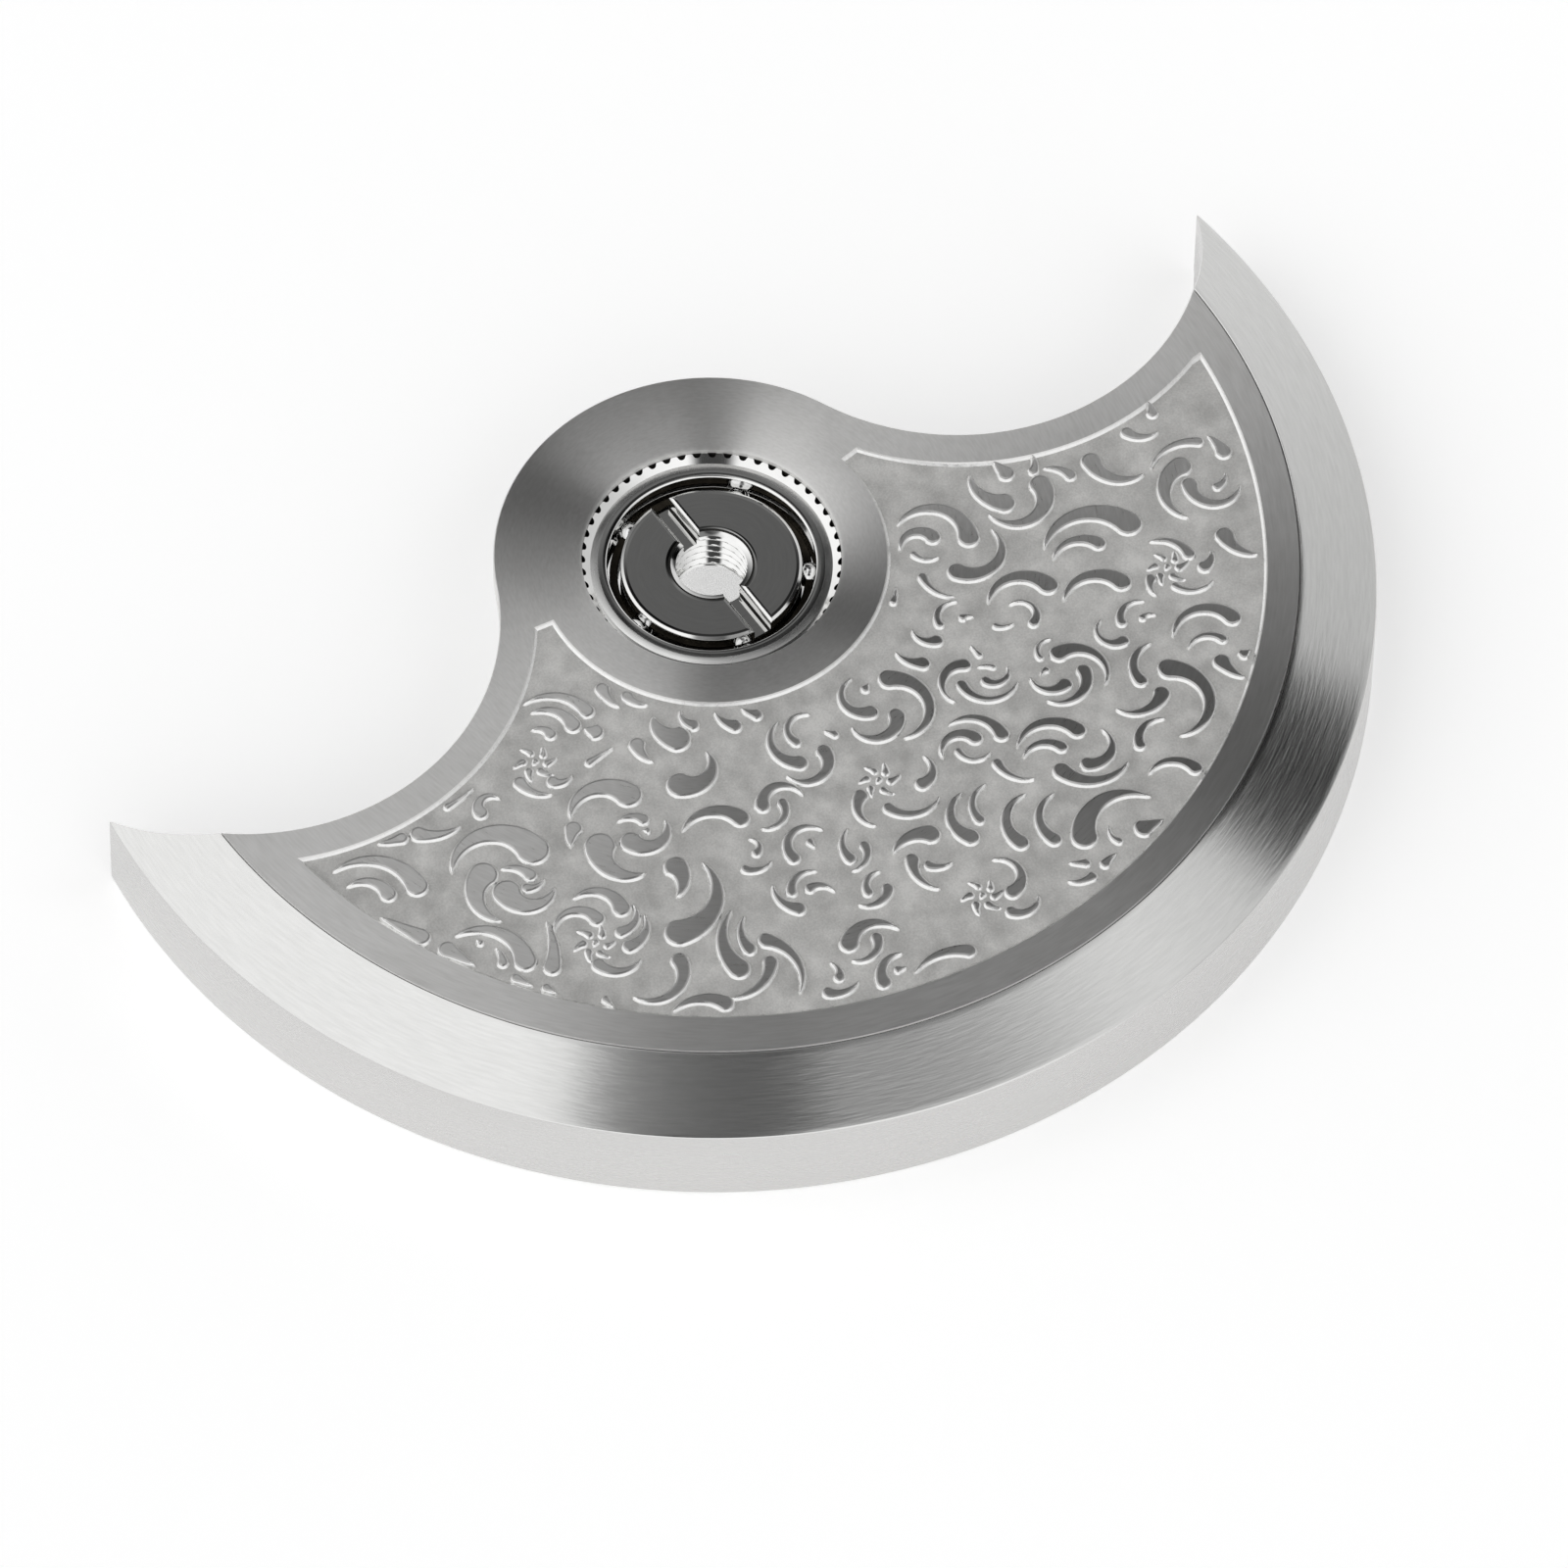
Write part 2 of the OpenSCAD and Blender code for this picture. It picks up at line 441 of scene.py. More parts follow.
def vector(tree, operation, first, second=None):
    """The result of a Vector Math node, a number for a length."""
    node = tree.nodes.new("ShaderNodeVectorMath")
    node.operation = operation
    for socket, value in zip(node.inputs, (first, second)):
        if isinstance(value, (tuple, Vector)):
            socket.default_value = value
        elif value is not None:
            tree.links.new(value, socket)
    return node.outputs["Value" if operation in ("LENGTH", "DOT_PRODUCT") else "Vector"]


def split(tree, value):
    node = tree.nodes.new("ShaderNodeSeparateXYZ")
    tree.links.new(value, node.inputs[0])
    return node.outputs


def object_place(tree):
    return tree.nodes.new("ShaderNodeTexCoord").outputs["Object"]


def noise(tree, place, scale, detail, seed):
    """Noise from 0 to 1 at a place, with scale cells to each unit of it."""
    node = tree.nodes.new("ShaderNodeTexNoise")
    node.noise_dimensions = "4D"
    node.inputs["Scale"].default_value = scale
    node.inputs["Detail"].default_value = detail
    node.inputs["W"].default_value = seed
    tree.links.new(place, node.inputs["Vector"])
    return node.outputs[0]


def turned(tree, across, around):
    """Coordinates that draw noise out along the turning direction, as a lathe or a brush does:
    across cells to a millimetre of the profile, around cells to a radian."""
    place = object_place(tree)
    flat = vector(tree, "MULTIPLY", place, (1, 1, 0))
    spoke = split(tree, vector(tree, "NORMALIZE", flat))
    profile = number(tree, "SUBTRACT", vector(tree, "LENGTH", flat), split(tree, place)["Z"])
    joined = tree.nodes.new("ShaderNodeCombineXYZ")
    tree.links.new(number(tree, "MULTIPLY", profile, across / MM), joined.inputs[0])
    tree.links.new(number(tree, "MULTIPLY", spoke["X"], around), joined.inputs[1])
    tree.links.new(number(tree, "MULTIPLY", spoke["Y"], around), joined.inputs[2])
    return joined.outputs[0]


def blend(tree, value, low, high, start=0.3, stop=0.7):
    """Maps a noise value between start and stop to a number between low and high."""
    node = tree.nodes.new("ShaderNodeMapRange")
    for name, setting in (("From Min", start), ("From Max", stop), ("To Min", low), ("To Max", high)):
        node.inputs[name].default_value = setting
    tree.links.new(value, node.inputs["Value"])
    return node.outputs["Result"]


def tint(tree, value, dark, light, start=0.3, stop=0.7):
    """A colour between dark and light, by a noise value between start and stop."""
    node = tree.nodes.new("ShaderNodeMix")
    node.data_type = "RGBA"
    tree.links.new(blend(tree, value, 0, 1, start, stop), node.inputs["Factor"])
    node.inputs["A"].default_value = (*dark, 1)
    node.inputs["B"].default_value = (*light, 1)
    return node.outputs["Result"]


def bump(tree, shader, height, depth):
    """Raises the surface by the height value times depth, in millimetres."""
    node = tree.nodes.new("ShaderNodeBump")
    node.inputs["Distance"].default_value = depth * MM
    tree.links.new(height, node.inputs["Height"])
    tree.links.new(node.outputs[0], shader.inputs["Normal"])


def metal(name, roughness, anisotropic=0.0):
    """A metal, brushed round the axis where anisotropic is above zero."""
    material, tree, shader = new_material(name)
    shader.inputs["Metallic"].default_value = 1
    shader.inputs["Roughness"].default_value = roughness
    if anisotropic:
        tangent = tree.nodes.new("ShaderNodeTangent")
        tangent.direction_type = "RADIAL"
        tangent.axis = "Z"
        tree.links.new(tangent.outputs[0], shader.inputs["Tangent"])
        shader.inputs["Anisotropic"].default_value = anisotropic
        shader.inputs["Anisotropic Rotation"].default_value = 0.25
    return material, tree, shader


def dress(tree, shader, color, roughness):
    """Links the shader's colour and roughness to what drives them."""
    tree.links.new(color, shader.inputs["Base Color"])
    tree.links.new(roughness, shader.inputs["Roughness"])


def weather(tree, shader, pattern, colors, gloss, depth):
    """Lets one pattern drive the colour, the roughness and the relief."""
    dress(tree, shader, tint(tree, pattern, *colors), blend(tree, pattern, *gloss))
    bump(tree, shader, pattern, depth)


def spots(tree, scale, detail, seed=0.0):
    return noise(tree, object_place(tree), scale, detail, seed)


def streaks(tree, across, around, detail, seed=0.0):
    return noise(tree, turned(tree, across, around), 1, detail, seed)


def make_satin():
    """Plate top: very fine brushing round the axis, with faint wear patches."""
    material, tree, shader = metal("satin_plate", 0.34, 1.0)
    fine = streaks(tree, 22, 24, 3)
    patches = spots(tree, 420, 3, 2.0)
    both = number(tree, "ADD", number(tree, "MULTIPLY", fine, 0.55), number(tree, "MULTIPLY", patches, 0.45))
    color = tint(tree, both, (0.73, 0.725, 0.71), (0.85, 0.845, 0.835), 0.34, 0.66)
    dress(tree, shader, color, blend(tree, fine, 0.32, 0.37))
    bump(tree, shader, fine, 0.0012)
    return material


def make_bevel():
    """Rim bevel: long streaks round the axis, coarse enough to break up reflections."""
    material, tree, shader = metal("brushed_rim", 0.15, 0.62)
    long = streaks(tree, 16, 14, 2)
    short = streaks(tree, 14, 24, 3, 4.0)
    color = tint(tree, short, (0.69, 0.69, 0.68), (0.75, 0.75, 0.74))
    dress(tree, shader, color, blend(tree, long, 0.13, 0.17))
    height = number(tree, "ADD", number(tree, "MULTIPLY", long, 0.4), short)
    bump(tree, shader, height, 0.0014)
    return material


def make_wall():
    """Rim wall and inner steps: fine turned lines."""
    material, tree, shader = metal("turned_wall", 0.26, 0.5)
    lines = streaks(tree, 20, 6, 2)
    colors = (0.642, 0.637, 0.628), (0.655, 0.65, 0.643)
    weather(tree, shader, lines, colors, (0.25, 0.29), 0.0002)
    return material


def make_frosted():
    """Field floor: a fine blasted grain under soft lighter and darker clouds."""
    material, tree, shader = metal("frosted_field", 0.7)
    grain = spots(tree, 26000, 3)
    clouds = spots(tree, 2000, 5, 3.0)
    mixed = number(tree, "ADD", number(tree, "MULTIPLY", grain, 0.35), number(tree, "MULTIPLY", clouds, 0.65))
    color = tint(tree, mixed, (0.65, 0.645, 0.63), (0.87, 0.865, 0.85), 0.36, 0.64)
    dress(tree, shader, color, blend(tree, clouds, 0.64, 0.76))
    bump(tree, shader, mixed, 0.006)
    return material


def make_cut_wall():
    """Walls of the engraving: bright, slightly wavy cut faces."""
    material, tree, shader = metal("cut_wall", 0.3)
    waves = spots(tree, 9000, 2)
    colors = (0.78, 0.78, 0.77), (0.92, 0.92, 0.91)
    weather(tree, shader, waves, colors, (0.24, 0.36), 0.004)
    return material


def make_ornament_top():
    """Tops of the raised ornament: brushed with the plate, a little darker and glossier."""
    material, tree, shader = metal("ornament_top", 0.29, 1.0)
    fine = streaks(tree, 22, 24, 3)
    colors = (0.69, 0.685, 0.67), (0.77, 0.765, 0.755)
    weather(tree, shader, fine, colors, (0.27, 0.32), 0.0012)
    return material


def make_shoulder_shade():
    """Edges of the raised ornament, painted darker than its tops as shade."""
    material, tree, shader = metal("shoulder_painted_shade", 0.3, 1.0)
    shade_mottle = spots(tree, 6000, 2, 11.0)
    colors = (0.55, 0.545, 0.54), (0.64, 0.635, 0.625)
    weather(tree, shader, shade_mottle, colors, (0.27, 0.34), 0.002)
    return material


def make_polished(name, dark, light, roughness, seed):
    """Polished steel with faint turned lines and slightly uneven gloss."""
    material, tree, shader = metal(name, roughness)
    lines = streaks(tree, 14, 3, 2, seed)
    smudge = spots(tree, 900, 2, seed + 1)
    dress(tree, shader, tint(tree, lines, dark, light), blend(tree, smudge, roughness * 0.7, roughness * 1.4))
    bump(tree, shader, lines, 0.0002)
    return material


def make_brass_and_shade():
    """Cage: dull brass, painted near black as the shade of the narrow gap it sits in."""
    material, tree, shader = metal("cage_brass_and_shade", 0.4)
    shade_mottle = spots(tree, 2500, 3)
    color = tint(tree, shade_mottle, (0.012, 0.011, 0.009), (0.045, 0.039, 0.03))
    dress(tree, shader, color, blend(tree, shade_mottle, 0.34, 0.5))
    return material


def make_gap_shade():
    """Painted shade: near black, for the narrow gaps between pressed pieces and for fine dark lines."""
    material, tree, shader = new_material("gap_shade")
    gap_mottle = spots(tree, 5000, 3)
    color = tint(tree, gap_mottle, (0.006, 0.006, 0.006), (0.03, 0.028, 0.025))
    dress(tree, shader, color, blend(tree, gap_mottle, 0.45, 0.7))
    shader.inputs["Specular IOR Level"].default_value = 0.15
    return material


satin = make_satin()
bevel = make_bevel()
turned_wall = make_wall()
frosted = make_frosted()
cut_wall = make_cut_wall()
ornament_top = make_ornament_top()
shoulder = make_shoulder_shade()
polished = make_polished("polished_ring", (0.62, 0.62, 0.61), (0.70, 0.70, 0.69), 0.12, 1.0)
bright_edge = make_polished("bright_edge", (0.80, 0.80, 0.79), (0.88, 0.88, 0.87), 0.07, 7.0)
dull_polish = make_polished("dull_polish", (0.78, 0.78, 0.77), (0.86, 0.86, 0.85), 0.24, 13.0)
mirrored = make_polished("mirror_core", (0.60, 0.60, 0.59), (0.64, 0.64, 0.63), 0.045, 5.0)
ball_steel = make_polished("ball_steel", (0.78, 0.78, 0.78), (0.84, 0.84, 0.84), 0.05, 9.0)
brass_and_shade = make_brass_and_shade()
gap_shade = make_gap_shade()


# Pieces

EDGE = 0.02
TURNED_STEPS = 180
CORE_STEPS = 144
FIELD_LIP = 0.012
FIELD_WALL_W = 0.055
HOLE_BEVEL = 0.03
HOLE_STEPS = 4 * TOOTH_COUNT
SEAT_GAP = 0.002


def make_plate():
    """The half-moon plate with its hole, and the field cut out of its top."""
    points, faces = [], []
    edge = plate_outline(EDGE)
    outline = plate_outline(0)
    walls = [
        (edge, PLATE_BOTTOM), (outline, PLATE_BOTTOM + EDGE),
        (outline, PLATE_TOP - EDGE), (edge, PLATE_TOP)
    ]
    ring_walls(walls, points, faces)
    hole = [
        (circle(HOLE_R + 2 * HOLE_BEVEL, HOLE_STEPS), PLATE_TOP),
        (circle(HOLE_R, HOLE_STEPS), PLATE_TOP - HOLE_BEVEL),
        (circle(HOLE_R, HOLE_STEPS), LIP_TOP - 0.01),
        (circle(HOLE_R, HOLE_STEPS), PLATE_BOTTOM)
    ]
    ring_walls(hole, points, faces)
    top_field = field_outline(-FIELD_LIP)
    flat_face([edge, top_field, hole[0][0]], PLATE_TOP, points, faces)
    flat_face([edge, hole[3][0]], PLATE_BOTTOM, points, faces)
    lip = [(top_field, PLATE_TOP), (field_outline(FIELD_LIP), PLATE_TOP - 2 * FIELD_LIP)]
    ring_walls(lip, points, faces)
    plate = make_piece("rotor_plate_body", points, faces, "rotor", "plate_steel", satin, ["rotor_plate"])
    # Painted shade on the hole's wall, down in the narrow gap round the ring.
    paint_gap_shade(plate, HOLE_R - 0.02, HOLE_R + 0.02)
    # Painted shade: the plate's outer top edge gets the darker shoulder colour, a dark line where it meets
    # the rim's bevel.
    paint(plate, shoulder, lambda face: radius_of(face) > PLATE_R - EDGE
          and height_of(face) > PLATE_TOP - 0.05 and face.normal.z < 0.9)


def make_field():
    """The frosted floor of the field and its sloped wall, in one mesh."""
    points, faces = [], []
    floor = field_outline(FIELD_WALL_W)
    wall = [(field_outline(FIELD_LIP), PLATE_TOP - 2 * FIELD_LIP), (floor, PLATE_TOP - FIELD_DEPTH)]
    ring_walls(wall, points, faces)
    flat_face([floor], PLATE_TOP - FIELD_DEPTH, points, faces)
    field = make_piece("field_floor", points, faces, "rotor", "plate_steel", frosted)
    paint_walls(field, cut_wall, 0.97)


def rim_profile():
    """The rim's section: bevel, rounded outer edge, wall, chamfered foot and the step under the plate."""
    e = EDGE
    fall = math.degrees(math.atan2(PLATE_TOP - BEVEL_LOW, RIM_R - RIM_STEP_R))
    turn = 90 - fall
    edge = 0.06
    away = edge * math.tan(math.radians(turn / 2))
    centre = (RIM_R - edge, BEVEL_LOW - away)
    rounded = arc(centre, edge, 90 - fall, 0, 8)
    return [
        (RIM_STEP_R + e, PLATE_TOP), (RIM_STEP_R + 2 * e, PLATE_TOP - e * 0.3),
        *rounded,
        (RIM_R, RIM_BOTTOM + RIM_CHAMFER), (RIM_R - RIM_CHAMFER, RIM_BOTTOM),
        (RIM_INNER_R + RIM_CHAMFER, RIM_BOTTOM), (RIM_INNER_R, RIM_BOTTOM + RIM_CHAMFER),
        (RIM_INNER_R, RIM_LEDGE), (RIM_STEP_R, RIM_LEDGE), (RIM_STEP_R, PLATE_TOP - e)
    ]


def refine(profile, step):
    """The closed profile with points added so that no side is longer than step."""
    fine = []
    for (r0, z0), (r1, z1) in zip(profile, profile[1:] + profile[:1]):
        parts = max(1, math.ceil(math.hypot(r1 - r0, z1 - z0) / step))
        fine += [(r0 + (r1 - r0) * i / parts, z0 + (z1 - z0) * i / parts) for i in range(parts)]
    return fine


def on_flank(r, z, side):
    """The place at this radius and height in the rim's end face."""
    tip = flank_meets(FLANK_R, r)
    return (*polar(r, tip if side > 0 else 180 - tip), z)


def make_rim():
    """The bevelled segment between the two flanks, with a small chamfer around its ends."""
    steps = 360
    profile = refine(rim_profile(), 0.1)
    points, faces = [], []
    inner = shrink(profile, EDGE)
    for r, z in profile:
        tip = flank_meets(FLANK_R + EDGE, r)
        points += [(*polar(r, a), z) for a in np.linspace(180 - tip, 360 + tip, steps + 1)]
    columns = steps + 1
    rows = len(profile)
    for i in range(rows):
        j = (i + 1) % rows
        for k in range(steps):
            faces.append((i * columns + k, i * columns + k + 1, j * columns + k + 1, j * columns + k))
    for end, side in ((0, -1), (steps, 1)):
        outer_ring = [i * columns + end for i in range(rows)]
        first = len(points)
        points += [on_flank(r, z, side) for r, z in inner]
        for i in range(rows):
            j = (i + 1) % rows
            faces.append((outer_ring[i], outer_ring[j], first + j, first + i))
        cap_points, cap_faces = [], []
        flat_face([inner], 0, cap_points, cap_faces)
        start = len(points)
        points += [on_flank(r, z, side) for r, z, _ in cap_points]
        faces += [tuple(start + i for i in f) for f in cap_faces]
    rim = make_piece("rim_segment", points, faces, "rotor", "rim_metal", bevel, ["rim_weight"])
    paint_walls(rim, turned_wall, 0.6)


def shrink(profile, amount):
    """The closed profile moved inwards, keeping its number of points."""
    shape = np.array(profile)
    before = np.roll(shape, 1, axis=0)
    after = np.roll(shape, -1, axis=0)
    first = (shape - before) / np.linalg.norm(shape - before, axis=1)[:, None]
    second = (after - shape) / np.linalg.norm(after - shape, axis=1)[:, None]
    normal = np.stack([first[:, 1] + second[:, 1], -first[:, 0] - second[:, 0]], axis=1)
    area = np.sum(shape[:, 0] * after[:, 1] - after[:, 0] * shape[:, 1])
    normal *= -math.copysign(1, area)
    length = np.linalg.norm(normal, axis=1)[:, None]
    moved = shape + normal / length * amount * 2 / length
    return [tuple(float(v) for v in p) for p in moved]


def groove(side, angles):
    """The race groove's arc in section: side is 1 in the outer ring and -1 on the inner races."""
    return [(RACE_R + side * GROOVE_R * cos(a), BALL_Z + GROOVE_R * sin(a)) for a in angles]


# The toothed outline from a gap's middle to a tooth's middle: shares of a tooth step, and how much
# of the gap's depth is left there. Riveting has narrowed the gaps at the lip.
TOOTH_CORNERS = ((0, 1), (0.15, 1), (0.24, 0.25), (0.36, 0), (0.5, 0))
LIP_CORNERS = ((0, 1), (0.12, 0.95), (0.21, 0.62), (0.29, 0), (0.5, 0))
TOOTH_SHARES = (0, 0.075, 0.15, 0.18, 0.21, 0.24, 0.28, 0.33, 0.38, 0.43, 0.5,
                0.57, 0.62, 0.67, 0.72, 0.76, 0.79, 0.82, 0.85, 0.925)


def tooth_reach(share, depth, outline):
    """Radius of the toothed outline, for a share of one tooth step from the gap's middle."""
    share = min(share % 1, 1 - share % 1)
    corners = [(place, GEAR_R - depth * left) for place, left in outline]
    for (a, low), (b, high) in zip(corners, corners[1:]):
        if share <= b:
            return low + (high - low) * (share - a) / (b - a)
    return GEAR_R


def ring_inside():
    """The race ring's profile, from its lower end up the bore and over the face to the rivet groove."""
    chamfer = 0.03
    profile = [(RING_BORE_R + chamfer, RING_BOTTOM), (RING_BORE_R, RING_BOTTOM + chamfer)]
    profile += [p for p in groove(1, range(-60, 61, 6)) if p[0] > RING_BORE_R]
    profile += [(RING_BORE_R, RING_TOP - 0.034), (RING_BORE_R + 0.006, RING_TOP - 0.022),
                (RING_BORE_R + 0.018, RING_TOP - 0.010), (RING_BORE_R + 0.034, RING_TOP - 0.004),
                (RING_BORE_R + 0.038, RING_TOP - 0.003), (RING_FACE_R - 0.085, RING_TOP),
                (RING_FACE_R - 0.08, RING_TOP)]
    steps = 8
    rounding = 0.0045
    for i in range(steps + 1):
        t = i / steps
        profile.append((RING_FACE_R + (RIVET_R - RING_FACE_R) * t,
                        RING_TOP - rounding - (RIVET_DEPTH - rounding) * (0.6 * t + 0.4 * t * t)))
    return profile


def make_ring():
    """The outer race: a turned ring with a riveted lip. Its outside follows the teeth over its
    whole height, with shallower gaps at the lip."""
    shares = [tooth + share for tooth in range(TOOTH_COUNT) for share in TOOTH_SHARES]
    turns = [share * 360 / TOOTH_COUNT for share in shares]
    narrow = [tooth_reach(share, LIP_GAP, LIP_CORNERS) for share in shares]
    deep = [tooth_reach(share, TOOTH_DEPTH, TOOTH_CORNERS) for share in shares]
    rows = [[(*polar(r, a), z) for a in turns] for r, z in ring_inside()]
    floor = RING_TOP - RIVET_DEPTH
    slope = LIP_RISE / (GEAR_R - RIVET_R)
    edge = 0.012
    for part in (0.03, 0.3, 0.6, 0.93):
        rows.append([])
        for a, reach in zip(turns, narrow):
            r = RIVET_R + (reach - RIVET_R) * part
            rows[-1].append((*polar(r, a), floor + slope * (r - RIVET_R)))
    outside = [(narrow, None), (narrow, RING_TOP - 0.10), (deep, RING_TOP - 0.16), (deep, RING_BOTTOM + edge)]
    for reaches, level in outside:
        rows.append([])
        for a, reach in zip(turns, reaches):
            z = floor + slope * (reach - RIVET_R) - edge if level is None else level
            rows[-1].append((*polar(reach, a), z))
    rows.append([(*polar(reach - edge, a), RING_BOTTOM) for a, reach in zip(turns, deep)])
    ring = make_piece("outer_ring", *shell(rows), "rotor", "ring_steel", polished, ["bearing_outer_ring"])
    paint_walls(ring, bright_edge, LEVEL)
    paint(ring, dull_polish, lambda face: RING_FACE_R < radius_of(face) < RIVET_R and face.normal.z > 0.9)
    # Painted shade on the ring's upright outside faces in the plate's hole, deep in the tooth gaps.
    paint_gap_shade(ring, RIVET_R, GEAR_R + 0.01)


def make_collar():
    """The ring's flange on which the plate sits."""
    low, high = PLATE_BOTTOM - COLLAR_T, PLATE_BOTTOM
    profile = [
        (GEAR_R - TOOTH_DEPTH, low), (COLLAR_R - EDGE, low), (COLLAR_R, low + EDGE), (COLLAR_R, high - EDGE),
        (COLLAR_R - EDGE, high - SEAT_GAP), (GEAR_R - TOOTH_DEPTH, high - SEAT_GAP)
    ]
    make_piece("ring_collar", *lathe(profile, TURNED_STEPS), "rotor", "ring_steel", polished)


def thread_radius(z, angle):
    """Radius of the bore at a height and angle: rounded turns that fade at both ends."""
    phase = (z / THREAD_PITCH - angle / 360) % 1
    ridge = min(1, max(0, 1.3 * (1 - 2 * abs(phase - 0.5)) - 0.12))
    fade = min(1, max(0, (z - 0.03) / 0.06), max(0, (CORE_H - MOUTH_DEPTH - z) / 0.03))
    crest = THREAD_R - THREAD_HEIGHT
    return crest + THREAD_HEIGHT * (1 - ridge) * fade


def boolean(piece, cutter):
    """Cuts the cutter out of the piece and removes it."""
    modifier = piece.modifiers.new("cut", "BOOLEAN")
    modifier.operation = "DIFFERENCE"
    modifier.solver = "EXACT"
    modifier.object = cutter
    graph = bpy.context.evaluated_depsgraph_get()
    mesh = bpy.data.meshes.new_from_object(piece.evaluated_get(graph))
    old = piece.data
    piece.modifiers.clear()
    piece.data = mesh
    mesh.name = old.name
    bpy.data.meshes.remove(old)
    bpy.data.objects.remove(cutter)


def clean(mesh):
    """Joins points that coincide, and turns every face so that it looks out of the solid."""
    shape = bmesh.new()
    shape.from_mesh(mesh)
    bmesh.ops.remove_doubles(shape, verts=shape.verts, dist=2e-4 * MM)
    bmesh.ops.recalc_face_normals(shape, faces=shape.faces)
    shape.to_mesh(mesh)
    shape.free()


# Height above or below the balls' centres at which the groove meets the inner races' outside, and
# how near to it the groove's last point may come.
RACE_EDGE = 0.225
RACE_LIP = 0.004


def make_core():
    """The slotted upper race with its neck and threaded bore."""
    c = CORE_CHAMFER
    race = groove(-1, range(0, 61, 6))
    outside = [(THREAD_R + c, 0), (NECK_R, 0), (NECK_R, BALL_Z), race[0]]
    outside += [p for p in race[1:] if p[0] < CORE_R - RACE_LIP]
    rim = CORE_R - CORE_BEVEL_W
    outside += [(CORE_R, BALL_Z + RACE_EDGE), (CORE_R, CORE_H - CORE_BEVEL_FALL - 0.012),
                (CORE_R - 0.008, CORE_H - CORE_BEVEL_FALL), (rim, CORE_H - 0.003),
                (rim - 0.010, CORE_H - 0.0030), (rim - 0.06, CORE_H),
                (rim - 0.065, CORE_H), (MOUTH_R + 0.07, CORE_H), (MOUTH_R + 0.065, CORE_H),
                (MOUTH_R + 0.010, CORE_H - 0.0034), (MOUTH_R, CORE_H - 0.006),
                (MOUTH_R - 0.006, CORE_H - 0.009), (MOUTH_R - 0.034, CORE_H - 0.0216),
                (MOUTH_R - 0.115, CORE_H - MOUTH_DEPTH + 0.004)]
    rows = [turned_row(r, z, CORE_STEPS) for r, z in outside]
    for z in np.linspace(CORE_H - MOUTH_DEPTH, c, 100):
        ring = []
        for i in range(CORE_STEPS):
            angle = 360 * i / CORE_STEPS
            ring.append((*polar(thread_radius(z, angle), angle), float(z)))
        rows.append(ring)
    core = raw_object("core_race", *shell(rows))
    boolean(core, slot_cutter())
    finish_piece(core, "core", "core_steel", mirrored, ["bearing_core"])
    flatten(core, 0.99999)
    paint_walls(core, bright_edge, LEVEL)
    # Painted shadow and dark lines in the slot and round the mouth of the bore.
    paint_dark_lines(core)


def slot_cutter():
    """A bar with the slot's section: rounded at the floor, chamfered at the top, longer than the core."""
    half = SLOT_W / 2
    edge = SLOT_CHAMFER
    floor = CORE_H - SLOT_DEPTH
    right = [(half - 0.035, floor), (half, floor + 0.045), (half, CORE_H - edge - 0.016),
             (half + 0.007, CORE_H - edge), (half + edge - 0.004, CORE_H - 0.009),
             (half + edge + 0.004, CORE_H - 0.0032), (half + edge + 0.05, CORE_H + 0.0004),
             (half + edge + 0.05, CORE_H + 0.05)]
    section = [(-x, z) for x, z in right] + right[::-1]
    points = [(x, y, z) for y in (-2.5, 2.5) for x, z in section]
    n = len(section)
    faces = bridge(2, n) + [tuple(reversed(range(n))), tuple(range(n, 2 * n))]
    return raw_object("slot_cutter", points, faces)


def make_cone():
    """The lower inner race on the core's neck."""
    c = CORE_CHAMFER
    profile = [(NECK_R + SEAT_GAP, CONE_LIFT), (CORE_R - c, CONE_LIFT), (CORE_R, CONE_LIFT + c),
               (CORE_R, BALL_Z - RACE_EDGE)]
    profile += [p for p in groove(-1, range(-60, 1, 6)) if p[0] < CORE_R - RACE_LIP]
    profile += [(NECK_R + SEAT_GAP, BALL_Z - SEAT_GAP)]
    make_piece("lower_cone", *lathe(profile, CORE_STEPS), "core", "core_steel", mirrored, ["bearing_cone"])


def ball_place(i):
    return (*polar(RACE_R, FIRST_BALL_ANGLE + i * 360 / BALL_COUNT), BALL_Z)


def sphere(centre, radius, columns, rows):
    """Points and faces of a ball with a pole at its top and its foot."""
    points = [(centre[0], centre[1], centre[2] - radius)]
    for i in range(1, rows):
        tilt = 180 * i / rows - 90
        for k in range(columns):
            x, y = polar(radius * cos(tilt), 360 * k / columns)
            points.append((centre[0] + x, centre[1] + y, centre[2] + radius * sin(tilt)))
    points.append((centre[0], centre[1], centre[2] + radius))
    top = len(points) - 1
    faces = [(0, 1 + (k + 1) % columns, 1 + k) for k in range(columns)]
    faces += [tuple(1 + i for i in f) for f in bridge(rows - 1, columns)]
    last = 1 + (rows - 2) * columns
    faces += [(last + k, last + (k + 1) % columns, top) for k in range(columns)]
    return points, faces


def make_balls():
    for i in range(BALL_COUNT):
        name = f"ball_{i + 1}"
        ball = sphere(ball_place(i), BALL_R, 48, 24)
        make_piece(f"steel_{name}", *ball, name, "ball_steel", ball_steel, [name])


